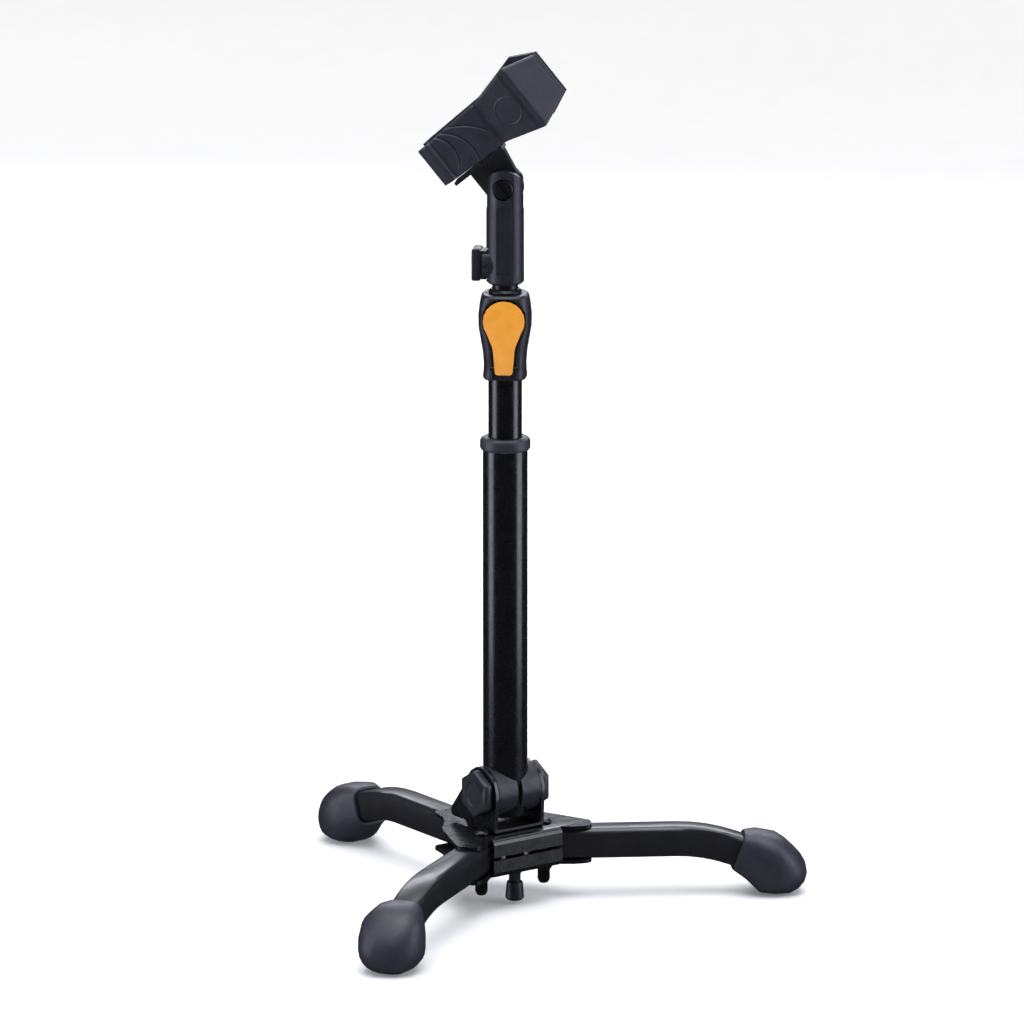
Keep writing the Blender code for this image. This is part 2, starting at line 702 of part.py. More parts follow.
def leg_fasteners():
    head = PLATE_TOP + CLEAR
    under = PLATE_BOTTOM - CLEAR
    for side in ("left", "right"):
        bush = ring(LEG_BOLT_R + BOLT_GAP, BUSH_R, PLATE_LOW_TOP + CLEAR,
                    PLATE_HIGH_UNDER - CLEAR, 20)
        piece(side + "_leg_bush", bush, "black_zinc", BOLT_AXES[side])
        bolt = turned([(0, head + BOLT_HEAD_H), (BOLT_HEAD_R * 0.62, head + BOLT_HEAD_H),
                       (BOLT_HEAD_R, head + BOLT_HEAD_H * 0.45), (BOLT_HEAD_R, head),
                       (LEG_BOLT_R, head), (LEG_BOLT_R, under - NUT_DROP + 5.4),
                       (0, under - NUT_DROP + 5.4)], 16)
        piece(side + "_leg_bolt", bolt, "black_zinc", BOLT_AXES[side])
        bore = LEG_BOLT_R + BOLT_GAP
        nut = turned([(0, under - NUT_DROP + 5.0), (bore, under - NUT_DROP + 5.0), (bore, under),
                      (NUT_FLANGE_R, under), (NUT_FLANGE_R, under - 3.2),
                      (NUT_DOME_R, under - 5.0), (NUT_DOME_R, under - NUT_DROP + 3.0),
                      (NUT_DOME_R * 0.72, under - NUT_DROP + 0.8), (0, under - NUT_DROP)], 16)
        piece(side + "_acorn_nut", nut, "gloss_black", BOLT_AXES[side])
    for number, y in enumerate(REAR_BOLT_Y, 1):
        bolt = turned([(0, head + BOLT_HEAD_H), (BOLT_HEAD_R * 0.6, head + BOLT_HEAD_H),
                       (BOLT_HEAD_R, head + 1.0), (BOLT_HEAD_R, head), (REAR_BOLT_R, head),
                       (REAR_BOLT_R, under - 5.0), (0, under - 5.0)], 16)
        holder = empty(f"rear_bolt_axis_{number}", ROOT, (0, y, 0))
        piece(f"rear_leg_bolt_{number}", bolt, "black_zinc", holder)
        nut = prism((0, y, under), (0, 0, -1), 8.0, 4.0)
        cut(nut, rod((0, y, under + 2), (0, y, under - 6), REAR_BOLT_R + BOLT_GAP, sides=16))
        piece(f"rear_leg_nut_{number}", nut, "black_zinc", ROOT)


def lock_screw():
    spacer = ring(LOCK_SCREW_R + BOLT_GAP, SPACER_R, PLATE_LOW_TOP + CLEAR,
                  PLATE_HIGH_UNDER - CLEAR, 20)
    piece("centre_spacer", spacer, "black_zinc", LOCK_AXIS)
    low, high = LOCK_KNOB_BOTTOM, LOCK_KNOB_TOP
    neck = PLATE_BOTTOM - CLEAR
    knob = turned([(0, PLATE_HIGH_UNDER - 2), (LOCK_SCREW_R, PLATE_HIGH_UNDER - 2),
                   (LOCK_SCREW_R, neck), (5.4, neck), (3.4, neck - 3.6), (3.4, high),
                   (LOCK_KNOB_R - 0.9, high), (LOCK_KNOB_R - 0.5, high - 2),
                   (LOCK_KNOB_R, low + 1.4), (LOCK_KNOB_R - 1.2, low), (0, low)], 16)
    piece("lock_knob", knob, "satin_black", LOCK_AXIS)


# ---------------------------------------------------------------- tilt joint
def ear_outline():
    """One ear seen from the side: round about the pivot with a sloping tail to the rear."""
    tail = (EAR_REAR, YOKE_BOTTOM + 2.6)
    arc = [(EAR_R * math.cos(math.radians(angle)), TILT_Z + EAR_R * math.sin(math.radians(angle)))
           for angle in range(190, 29, -20)]
    lower = fillet([(*arc[-1], 0), (EAR_R + 4.0, TILT_Z - 2.0, 5), (tail[0], tail[1] + 3.5, 3),
                    (tail[0] - 2.0, tail[1], 1.5), (EAR_FRONT + 1.5, tail[1], 1),
                    (EAR_FRONT, YOKE_BOTTOM, 0), (-EAR_FRONT, YOKE_BOTTOM, 1), (*arc[0], 0)],
                   closed=False)
    return arc + lower[1:-1]


def yoke():
    body = slab(ear_outline(), -YOKE_OUTER, YOKE_OUTER, "YZ")
    inside = box((-YOKE_INNER, -40, YOKE_WEB_TOP), (YOKE_INNER, 60, 120))
    soften(inside, 1.2, 2)
    cut(body, inside)
    cut(body, box((-YOKE_INNER, EAR_FRONT + 0.5, 30), (YOKE_INNER, 60, 60)))
    cut(body, rod((-30, 0, TILT_Z), (30, 0, TILT_Z), TILT_BOLT_R + BOLT_GAP, sides=16))
    cut(body, rod((0, RIVET_Y, 30), (0, RIVET_Y, 60), RIVET_R + BOLT_GAP, sides=16))
    piece("yoke", body, "gloss_black", ROOT)
    under = PLATE_HIGH_UNDER - CLEAR
    rivet = turned([(0, YOKE_WEB_TOP), (RIVET_R, YOKE_WEB_TOP), (RIVET_R, under),
                    (RIVET_HEAD_R, under), (RIVET_HEAD_R - 0.8, under - 1.5), (0, under - 1.5)], 16)
    piece("yoke_rivet", rivet, "black_zinc", empty("rivet_axis", ROOT, (0, RIVET_Y, 0)))


def saddles():
    for side, name in ((-1, "left_saddle"), (1, "right_saddle")):
        inner = (side * SADDLE_SPLIT, 0, 0)
        outer = (side * (YOKE_INNER - CLEAR), 0, 0)
        disc = rod(inner, outer, EAR_R, sides=28)
        cut(disc, rod((0, 0, -30), (0, 0, 30), OUTER_R + CLEAR, sides=28))
        cut(disc, rod((-30, 0, 0), (30, 0, 0), TILT_BOLT_R + BOLT_GAP, sides=16))
        piece(name, disc, "satin_black", TILT_AXIS)


def tilt_hardware():
    length = 2 * (KNOB_OUTER - 1.2)
    bolt = rod((-length / 2, 0, 0), (length / 2 - 0.6, 0, 0), TILT_BOLT_R, sides=16)
    piece("tilt_bolt", bolt, "black_zinc", TILT_AXIS)
    knob = prism((-KNOB_INNER, 0, 0), (-1, 0, 0), KNOB_FLATS, KNOB_THICK)
    soften(knob, 0.9, 2)
    cut(knob, rod((0, 0, 0), (-KNOB_OUTER + 1.0 - BOLT_GAP + 0.2, 0, 0),
                  TILT_BOLT_R + BOLT_GAP, sides=16),
        rod((-KNOB_OUTER - 1, 0, 0), (-KNOB_OUTER + 0.5, 0, 0), 7.2, sides=24))
    piece("tilt_knob", knob, "satin_black", TILT_AXIS)
    cap = prism((KNOB_INNER, 0, 0), (1, 0, 0), KNOB_FLATS, KNOB_THICK)
    soften(cap, 0.9, 2)
    nut_r = TILT_NUT_FLATS / math.cos(math.pi / 6) / 2 + CLEAR
    pocket = KNOB_INNER + TILT_NUT_THICK + 2 * CLEAR
    cut(cap, rod((0, 0, 0), (pocket, 0, 0), nut_r, sides=24),
        rod((KNOB_OUTER + 1, 0, 0), (KNOB_OUTER - 0.5, 0, 0), 7.2, sides=24))
    piece("tilt_cap", cap, "satin_black", TILT_AXIS)
    nut = prism((KNOB_INNER + CLEAR, 0, 0), (1, 0, 0), TILT_NUT_FLATS, TILT_NUT_THICK)
    cut(nut, rod((0, 0, 0), (30, 0, 0), TILT_BOLT_R + BOLT_GAP, sides=16))
    piece("tilt_nut", nut, "steel", TILT_AXIS)


# ---------------------------------------------------------------- mast
def cross_bore():
    return rod((-30, 0, TILT_Z), (30, 0, TILT_Z), TILT_BOLT_R + BOLT_GAP, sides=16)


def mast():
    tube = ring(TUBE_BORE, OUTER_R, OUTER_BOTTOM, OUTER_TOP, 32)
    piece("outer_tube", cut(tube, cross_bore()), "gloss_black", MAST)
    plug = rod((0, 0, OUTER_BOTTOM + 0.4), (0, 0, PLUG_TOP), TUBE_BORE - CLEAR, sides=32)
    piece("tube_plug", cut(plug, cross_bore()), "rubber", MAST)
    step = OUTER_TOP + CLEAR
    collar = turned([(COLLAR_R - 2.0, COLLAR_TOP), (COLLAR_R - 0.6, COLLAR_TOP - 0.9),
                     (COLLAR_R, COLLAR_TOP - 2.2), (COLLAR_R, COLLAR_BOTTOM + 1.0),
                     (COLLAR_R - 0.6, COLLAR_BOTTOM), (OUTER_R + CLEAR, COLLAR_BOTTOM),
                     (OUTER_R + CLEAR, step), (INNER_R + CLEAR, step),
                     (INNER_R + CLEAR, COLLAR_TOP)], 28, True)
    piece("mast_collar", collar, "rubber", MAST)
    piece("inner_tube", ring(INNER_BORE, INNER_R, INNER_BOTTOM, INNER_TOP, 28),
          "gloss_black", CLUTCH)


def lock():
    """The split bush, its cone and the rod that frees them."""
    spigot = INNER_BORE - CLEAR
    bore = ROD_R + BOLT_GAP
    slope = (CONE_BASE_R - CONE_TIP_R) / (CONE_LENGTH - 1)
    seat_top = CONE_TIP_R + 0.45
    seat_z = CONE_BOTTOM + CONE_LENGTH
    seat_bottom = seat_top + slope * (seat_z - BUSH_BOTTOM)
    bush = turned([(spigot, BUSH_TOP + 7), (spigot, BUSH_TOP), (TUBE_BORE - CLEAR, BUSH_TOP),
                   (TUBE_BORE - CLEAR, BUSH_BOTTOM), (seat_bottom, BUSH_BOTTOM),
                   (seat_top, seat_z), (bore, seat_z), (bore, BUSH_TOP + 7)], 24, True)
    for angle in (0, 90):
        slit = box((-0.5, -20, BUSH_BOTTOM - 5), (0.5, 20, BUSH_TOP - 5))
        slit.rotation_euler.z = math.radians(angle)
        cut(bush, slit)
    piece("lock_bush", bush, "satin_black", MAST)
    cone = turned([(CONE_TIP_R, seat_z - CLEAR), (CONE_BASE_R, CONE_BOTTOM + 1),
                   (CONE_BASE_R, CONE_BOTTOM), (bore, CONE_BOTTOM), (bore, seat_z - CLEAR)],
                  24, True)
    piece("lock_cone", cone, "steel", CLUTCH)
    top = ROD_HEAD_Z + 1.5
    rise = ROD_CONE_R - 1.0
    body = turned([(0, top + rise), (1.0, top + rise), (ROD_CONE_R, top), (ROD_HEAD_R, top),
                   (ROD_HEAD_R, ROD_HEAD_Z), (ROD_R, ROD_HEAD_Z), (ROD_R, CONE_BOTTOM - CLEAR),
                   (ROD_FOOT_R, CONE_BOTTOM - CLEAR), (ROD_FOOT_R, CONE_BOTTOM - CLEAR - 1.5),
                   (0, CONE_BOTTOM - CLEAR - 1.5)], 16)
    piece("push_rod", body, "steel", CLUTCH)
    seat = ring(bore, spigot, INNER_TOP - SEAT_LENGTH, INNER_TOP - CLEAR, 24)
    piece("spring_seat", seat, "satin_black", CLUTCH)
    low = INNER_TOP + CLEAR + ROD_SPRING_WIRE
    high = ROD_HEAD_Z - CLEAR - ROD_SPRING_WIRE - 0.2
    piece("rod_spring", wire(helix(ROD_SPRING_R, low, high, 4.0), ROD_SPRING_WIRE, 1), "steel",
          CLUTCH)


# ---------------------------------------------------------------- clutch
def housing_ring(z, half_w, front, rear, count=24, square=3.2):
    loop = []
    for number in range(count):
        angle = 2 * math.pi * (number + 0.5) / count
        c, s = math.cos(angle), math.sin(angle)
        depth = rear if s > 0 else front
        loop.append((half_w * math.copysign(abs(c) ** (2 / square), c),
                     depth * math.copysign(abs(s) ** (2 / square), s), z))
    return loop


def housing_body():
    """Half widths down the housing, from the flat top to the flared foot."""
    # below the top, outside the inner tube's radius, set back front and rear
    rows = [(0, 2.675, 1.2), (1.2, 3.875, 0.2), (5, 4.675, 0), (12, 5.475, 0), (19, 5.375, 0),
            (26, 4.175, 0), (33, 2.975, 0.3), (40, 2.425, 0.6), (HOUSING_HEIGHT - 4, 2.575, 0.5),
            (HOUSING_HEIGHT - 1, 2.925, 0.4), (HOUSING_HEIGHT, 2.375, 0.9)]
    return loft([housing_ring(HOUSING_TOP - drop, INNER_R + wide, HOUSING_FRONT - back,
                              HOUSING_REAR - back) for drop, wide, back in rows])


def keyhole(grow=0.0, tail_drop=0.0):
    """The trigger's outline: a round pad that runs into a narrower tail."""
    radius = TRIGGER_R + grow
    half = TRIGGER_TAIL_HALF + grow
    bottom = TRIGGER_BOTTOM - grow - tail_drop
    points = [(radius * math.sin(math.radians(angle)),
               TRIGGER_Z + radius * math.cos(math.radians(angle)))
              for angle in range(-126, 127, 18)]
    side = fillet([(*points[-1], 0), (half + 0.7, TRIGGER_Z - 15.5, 8), (half - 0.5, bottom, 1.8),
                   (0, bottom, 0)], closed=False)[1:-1]
    return points + side + [(-x, z) for x, z in reversed(side)]


def clutch_cuts():
    """Everything the two housing halves are hollowed by, as fresh cutters."""
    front = -40
    tail_floor = TRIGGER_BACK - TRIGGER_TAIL_ROOM
    pad_floor = TRIGGER_BACK - TRIGGER_TRAVEL - 0.35
    pad_edge = TRIGGER_Z - TRIGGER_TAIL_EDGE
    pin_hole = TRIGGER_TAIL_HALF + TRIGGER_PIN_SIDE + CLEAR
    pad_only = slab(keyhole(TRIGGER_PAD_GAP), pad_floor, -front, "XZ")
    keep(pad_only, box((-20, front - 5, pad_edge), (20, 0, TRIGGER_Z + 20)))
    return [
        slab(keyhole(TRIGGER_GAP, 6.0), tail_floor, -front, "XZ"),
        pad_only,
        rod((0, 0, HOUSING_BOTTOM - 5), (0, 0, INNER_TOP + CLEAR), INNER_R + CLEAR, sides=28),
        rod((0, 0, INNER_TOP - 1), (0, 0, CAVITY_TOP), CAVITY_R, sides=32),
        rod((0, 0, CAVITY_TOP - 1), (0, 0, HOUSING_TOP + 5), STUD_SHANK_R + BOLT_GAP, sides=24),
        rod((0, 0, CAVITY_TOP + 0.3), (0, 0, CAVITY_TOP + 3.3), STUD_FLANGE_R + CLEAR, sides=24),
        box((-3.2, front, ROD_HEAD_Z - 1.5), (3.2, 0, CAVITY_TOP)),
        rod((-pin_hole, -(TRIGGER_BACK + TRIGGER_FACE) / 2, TRIGGER_PIN_Z),
            (pin_hole, -(TRIGGER_BACK + TRIGGER_FACE) / 2, TRIGGER_PIN_Z),
            TRIGGER_PIN_R + BOLT_GAP, sides=16),
        rod((-SCREW_X, 40, SCREW_Z), (-SCREW_X, -7.5, SCREW_Z), SCREW_R + BOLT_GAP, sides=16),
        rod((SCREW_X, 40, SCREW_Z), (SCREW_X, -7.5, SCREW_Z), SCREW_R + BOLT_GAP, sides=16),
        rod((-SCREW_X, 40, SCREW_Z), (-SCREW_X, 8.0, SCREW_Z), 2.4, sides=16),
        rod((SCREW_X, 40, SCREW_Z), (SCREW_X, 8.0, SCREW_Z), 2.4, sides=16),
    ]


def clutch_housing():
    for side, name in ((-1, "housing_front"), (1, "housing_rear")):
        body = housing_body()
        near, far = sorted((side * CLEAR / 2, side * 60))
        keep(body, box((-40, near, HOUSING_BOTTOM - 20), (40, far, HOUSING_TOP + 20)))
        piece(name, cut(body, *clutch_cuts()), "satin_black", CLUTCH)
    for side, x in (("left", -SCREW_X), ("right", SCREW_X)):
        screw = turned([(0, 1.5), (1.6, 1.5), (2.1, 0.6), (2.1, 0), (SCREW_R, 0),
                        (SCREW_R, -15), (0, -15)], 12)
        holder = empty(side + "_housing_screw_axis", CLUTCH, (x, 8.0 + CLEAR, SCREW_Z),
                       (-90, 0, 0))
        piece(side + "_housing_screw", screw, "black_zinc", holder)


def trigger():
    """The yellow lever: a keyhole pad with a wedge behind it that bears on the push rod."""
    axis_n = (TRIGGER_BACK + TRIGGER_FACE) / 2
    body = slab(keyhole(), TRIGGER_BACK, TRIGGER_FACE, "XZ")
    soften(body, 0.8, 2, 60)
    contact = ROD_HEAD_Z + 1.5 + ROD_CONE_R + CLEAR * 1.6
    tip = 1.2
    wedge = [(TRIGGER_BACK + 0.6, ROD_HEAD_Z), (6.3, contact - 4.0), (4.0, contact - 4.0),
             (tip, contact - tip), (tip, CAVITY_TOP - 2.6), (TRIGGER_BACK + 0.6, CAVITY_TOP - 1.2)]
    rib = slab([(-n, z) for n, z in wedge], -2.4, 2.4, "YZ")
    fuse(body, rib)
    cut(body, rod((-20, -axis_n, TRIGGER_PIN_Z), (20, -axis_n, TRIGGER_PIN_Z),
                  TRIGGER_PIN_R + BOLT_GAP / 2, sides=16))
    holder = empty("trigger_body_axis", TRIGGER_AXIS, (0, axis_n, -TRIGGER_PIN_Z))
    piece("trigger", body, "yellow", holder)
    pin_end = TRIGGER_TAIL_HALF + TRIGGER_PIN_SIDE
    pin = rod((-pin_end, -axis_n, TRIGGER_PIN_Z), (pin_end, -axis_n, TRIGGER_PIN_Z),
              TRIGGER_PIN_R, sides=16)
    piece("trigger_pin", pin, "black_zinc", CLUTCH)


def stud():
    low = CAVITY_TOP + 0.3 + CLEAR
    seat = HOUSING_TOP + CLEAR
    body = turned([(0, STUD_TOP), (STUD_R - 1, STUD_TOP), (STUD_R, STUD_TOP - 1), (STUD_R, seat),
                   (STUD_SHANK_R, seat), (STUD_SHANK_R, low + 2.4), (STUD_FLANGE_R, low + 2.4),
                   (STUD_FLANGE_R, low), (0, low)], 28)
    piece("mic_stud", body, "black_zinc", CLUTCH)
    nut = turned([(STUD_R + BOLT_GAP, STUD_NUT_TOP), (STUD_R + 1.0, STUD_NUT_TOP),
                  (STUD_NUT_R, seat + 0.8), (STUD_NUT_R, seat), (STUD_R + BOLT_GAP, seat)],
                 28, True)
    piece("stud_nut", nut, "black_zinc", CLUTCH)


# ---------------------------------------------------------------- adaptor
def adaptor():
    body = turned([(0, FORK_Z + 14), (ADAPTOR_R - 0.2, FORK_Z + 14),
                   (ADAPTOR_R, ADAPTOR_BOTTOM + 1.4), (ADAPTOR_R - 1.4, ADAPTOR_BOTTOM),
                   (0, ADAPTOR_BOTTOM)], 40)
    round_r = ADAPTOR_R + DOME_DROP
    arch = [(round_r * math.cos(math.radians(angle)),
             FORK_Z - DOME_DROP + round_r * math.sin(math.radians(angle)))
            for angle in range(5, 176, 17)]
    arch += [(-round_r - 5, FORK_Z - DOME_DROP), (-round_r - 5, ADAPTOR_BOTTOM - 5),
             (round_r + 5, ADAPTOR_BOTTOM - 5), (round_r + 5, FORK_Z - DOME_DROP)]
    keep(body, slab(arch, -30, 30, "XZ"))
    fuse(body, rod((-BOSS_END, 0, BUTTON_Z), (0, 0, BUTTON_Z), BOSS_R, sides=28))
    low, high = BUTTON_Z - PAD_HALF_HEIGHT - 0.35, BUTTON_Z + PAD_HALF_HEIGHT + 0.35
    spring_z = STUD_TOP + 3.0
    cut(body,
        rod((0, 0, ADAPTOR_BOTTOM - 5), (0, 0, STUD_TOP + 1.5), STUD_R + BOLT_GAP, sides=28),
        box((-FORK_SLOT_HALF * 8, -FORK_SLOT_HALF, FORK_Z - ARM_R - 1.4),
            (FORK_SLOT_HALF * 8, FORK_SLOT_HALF, FORK_Z + 40)),
        box((-BOSS_END - 5, -WINDOW_HALF, low), (NUT_IN + CLEAR, WINDOW_HALF, high)),
        rod((NUT_IN - 1.7, 0, spring_z), (SPRING_IN + 0.7, 0, spring_z), BUTTON_SPRING_R + 0.7,
            sides=16),
        rod((BUTTON_PIN_X, -20, BUTTON_Z), (BUTTON_PIN_X, 20, BUTTON_Z),
            BUTTON_PIN_R + BOLT_GAP, sides=16),
        box((-PANEL_HALF, -30, PANEL_BOTTOM), (PANEL_HALF, -PANEL_FACE, PANEL_TOP)),
        rod((0, -30, FORK_Z), (0, -RECESS_FLOOR, FORK_Z), RECESS_R, sides=28),
        rod((0, 30, FORK_Z), (0, -30, FORK_Z), FORK_SCREW_R + BOLT_GAP, sides=16),
        rod((0, 30, FORK_Z), (0, RECESS_FLOOR, FORK_Z), RECESS_R, sides=28))
    piece("adaptor_body", body, "satin_black", ADAPTOR)


def release():
    """The rocking side button with the half nut on its lower inner face."""
    def local(x, y, z):
        return (x - BUTTON_PIN_X, y, z - BUTTON_Z)

    half = PAD_HALF_HEIGHT
    neck = WINDOW_HALF - 0.4
    pad = box(local(-PAD_OUTER, -PAD_HALF_DEPTH, BUTTON_Z - half),
              local(-PAD_INNER, PAD_HALF_DEPTH, BUTTON_Z + half))
    soften(pad, 1.2, 2)
    fuse(pad, box(local(-PAD_INNER - 0.5, -neck, BUTTON_Z - half + 1),
                  local(NUT_OUT + 1.3, neck, BUTTON_Z + half - 1)))
    for number in range(-2, 3):
        y = number * 2.4
        cut(pad, box(local(-PAD_OUTER - 1, y - 0.5, BUTTON_Z - half - 1),
                     local(-PAD_OUTER + 0.6, y + 0.5, BUTTON_Z + half + 1)))
    cut(pad, rod((0, -12, 0), (0, 12, 0), BUTTON_PIN_R + BOLT_GAP, sides=16),
        box(local(NUT_OUT - CLEAR, -neck - 1, BUTTON_Z - half), local(0, neck + 1, BUTTON_Z - 1.6)))
    piece("release_button", pad, "satin_black", BUTTON_AXIS)
    jaw = box(local(NUT_OUT, -NUT_HALF, BUTTON_Z - half + 1.2),
              local(NUT_IN, NUT_HALF, BUTTON_Z - 2.0))
    centre = local(0, 0, 0)[0]
    cut(jaw, rod((centre, 0, -20), (centre, 0, 20), STUD_R + BOLT_GAP, sides=28))
    piece("half_nut", jaw, "steel", BUTTON_AXIS)
    pin = rod((0, -8.8, 0), (0, 8.8, 0), BUTTON_PIN_R, sides=12)
    piece("button_pin", pin, "steel", BUTTON_AXIS)
    spring_z = STUD_TOP + 3.0
    coil = [(x, y, z) for y, z, x in helix(BUTTON_SPRING_R, SPRING_OUT, SPRING_IN, 4.0)]
    points = [local(x, y, z + spring_z) for x, y, z in coil]
    piece("button_spring", wire(points, 0.3, 1), "steel", BUTTON_AXIS)


def fork_screw():
    face = -(RECESS_FLOOR + CLEAR)
    end = 2 * face - 2.0
    body = turned([(0, 1.6), (FORK_SCREW_HEAD_R - 0.5, 1.6), (FORK_SCREW_HEAD_R, 1.1),
                   (FORK_SCREW_HEAD_R, 0), (FORK_SCREW_R, 0), (FORK_SCREW_R, end), (0, end)],
                  24)
    slot = box((-0.7, -8, 0.8), (0.7, 8, 4))
    slot.rotation_euler.z = math.radians(40)
    cut(body, slot)
    holder = empty("fork_screw_axis", ADAPTOR, (0, face, FORK_Z), (90, 0, 0))
    piece("fork_screw", body, "black_zinc", holder)
    nut = prism((0, RECESS_FLOOR + CLEAR, FORK_Z), (0, 1, 0), 8.0, 2.2)
    cut(nut, rod((0, 0, FORK_Z), (0, 20, FORK_Z), FORK_SCREW_R + BOLT_GAP, sides=16))
    piece("fork_nut", nut, "steel", ADAPTOR)


# ---------------------------------------------------------------- clip
def clip_arm():
    """The bracket: a lug in the fork, a foot plate under the jaws and the pin's barrel."""
    arc = [(ARM_R * math.cos(math.radians(angle)), ARM_R * math.sin(math.radians(angle)))
           for angle in range(180, 361, 12)]
    body = slab(arc + [(ARM_R + 3.4, ARM_TOP - 0.5), (-ARM_R, ARM_TOP - 0.5)],
                -ARM_HALF, ARM_HALF, "XZ")
    fuse(body, box((-20, -7.5, ARM_TOP - ARM_PLATE), (ARM_R + 3.6, 7.5, ARM_TOP)),
         rod((CLIP_PIN_A, 0, ARM_TOP - 1), (CLIP_PIN_A, 0, ARM_TOP + BARREL_HEIGHT), KNUCKLE_R,
             sides=24))
    cut(body, rod((0, -20, 0), (0, 20, 0), FORK_SCREW_R + BOLT_GAP, sides=16),
        rod((CLIP_PIN_A, 0, ARM_TOP - 3), (CLIP_PIN_A, 0, ARM_TOP + 20), CLIP_PIN_R + BOLT_GAP,
            sides=16))
    piece("clip_arm", body, "satin_black", CLIP)
    pin = rod((0, 0, ARM_TOP - 2.6), (0, 0, CLIP_PIN_TOP), CLIP_PIN_R, sides=16)
    piece("hinge_pin", pin, "steel", JAW_AXIS)


def jaw_line():
    """The jaw's outer line from the grip's lip to the tip, from the hinge pin."""
    line = fillet([(-29.9, 11.0, 0), (-24.8, 14.8, 4), (5, 9.4, 20), (11.8, 9.0, 5),
                   (38.6, 19.8, 5), (55.2, 5.4, 0)], step=24, closed=False)
    return line


def strip(line, near, far):
    """A closed band between two offsets to the inner side of an open line."""
    normals = []
    for index in range(len(line)):
        before = Vector(line[max(index - 1, 0)])
        after = Vector(line[min(index + 1, len(line) - 1)])
        along = (after - before).normalized()
        normals.append(Vector((along.y, -along.x)))
    points = [Vector(point) for point in line]
    outer = [tuple(point + normal * near) for point, normal in zip(points, normals)]
    inner = [tuple(point + normal * far) for point, normal in zip(points, normals)]
    return outer + inner[::-1]


def jaw_outline(grow=0.0):
    """The jaw seen from outside: half widths either side of its middle."""
    upper = [(-31.0, 11.9, 1.5), (13.2, 13.9, 12), (38.2, 20.4, 4), (56.0, 14.0, 1)]
    lower = [(56.0, -12.6, 1), (38.2, -20.2, 4), (13.2, -14.2, 12), (-31.0, -12.6, 1.5)]
    return fillet([(a, JAW_MIDDLE + u + math.copysign(grow, u), r) for a, u, r in upper + lower])


def jaw_frame(points, side):
    return [(a, side * n) for a, n in points]


def jaw(name, side, knuckles, parent):
    """One jaw: a bent band trimmed to its outline, with knuckles on the hinge pin."""
    body = slab(jaw_frame(strip(jaw_line(), 0, JAW_THICK), side), 0, 70)
    keep(body, slab(jaw_outline(), -40, 40, "XZ"))
    for low in knuckles:
        high = low + KNUCKLE_WIDTH
        web = box((-3.2, min(side * 1.5, side * 9.0), low), (3.2, max(side * 1.5, side * 9.0), high))
        fuse(body, web, rod((0, 0, low), (0, 0, high), KNUCKLE_R, sides=24))
    cut(body, rod((0, 0, 0), (0, 0, 70), CLIP_PIN_R + BOLT_GAP, sides=16))
    return piece(name, body, "rubber", parent)


def jaw_pad(name, side, parent):
    """The soft lining where a jaw holds the microphone."""
    line = [point for point in jaw_line() if point[0] > 12.0]
    first, second = Vector(line[0]), Vector(line[1])
    start = second + (first - second) * 0.1
    last, before = Vector(line[-1]), Vector(line[-2])
    end = last + (before - last).normalized() * 4.0
    line = [tuple(start)] + line[1:-1] + [tuple(end)]
    inner = JAW_THICK + CLEAR
    body = slab(jaw_frame(strip(line, inner, inner + PAD_THICK), side), JAW_MIDDLE - 11,
                JAW_MIDDLE + 11)
    return piece(name, body, "rubber", parent)


def jaw_spring():
    """A torsion coil round the hinge pin, with a leg against each grip."""
    low, high = JAW_MIDDLE - 1.3, JAW_MIDDLE + 1.3
    turns, per_turn = 3.5, 8
    count = int(turns * per_turn)
    coil = []
    for number in range(count + 1):
        angle = math.radians(90 - 360 * number / per_turn)
        coil.append((JAW_COIL_R * math.cos(angle), JAW_COIL_R * math.sin(angle),
                     low + (high - low) * number / count))
    points = [(-9.0, 8.6, low)] + coil + [(-9.0, -8.6, high)]
    piece("jaw_spring", wire(points, 0.4, 1), "steel", JAW_AXIS)


def clip():
    clip_arm()
    first = ARM_TOP + BARREL_HEIGHT + CLEAR
    gap = KNUCKLE_WIDTH + CLEAR
    jaw("near_jaw", -1, (first, CLIP_PIN_TOP - 2 * gap), JAW_AXIS)
    jaw("far_jaw", 1, (first + gap, CLIP_PIN_TOP - gap), JAW_AXIS)
    jaw_pad("near_jaw_pad", -1, JAW_AXIS)
    jaw_pad("far_jaw_pad", 1, JAW_AXIS)
    jaw_spring()


base_plates()
legs()
leg_fasteners()
lock_screw()
yoke()
saddles()
tilt_hardware()
mast()
lock()
clutch_housing()
trigger()
stud()
adaptor()
release()
fork_screw()
clip()
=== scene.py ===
"""Looks for the desktop microphone stand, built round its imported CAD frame."""
import json
import math

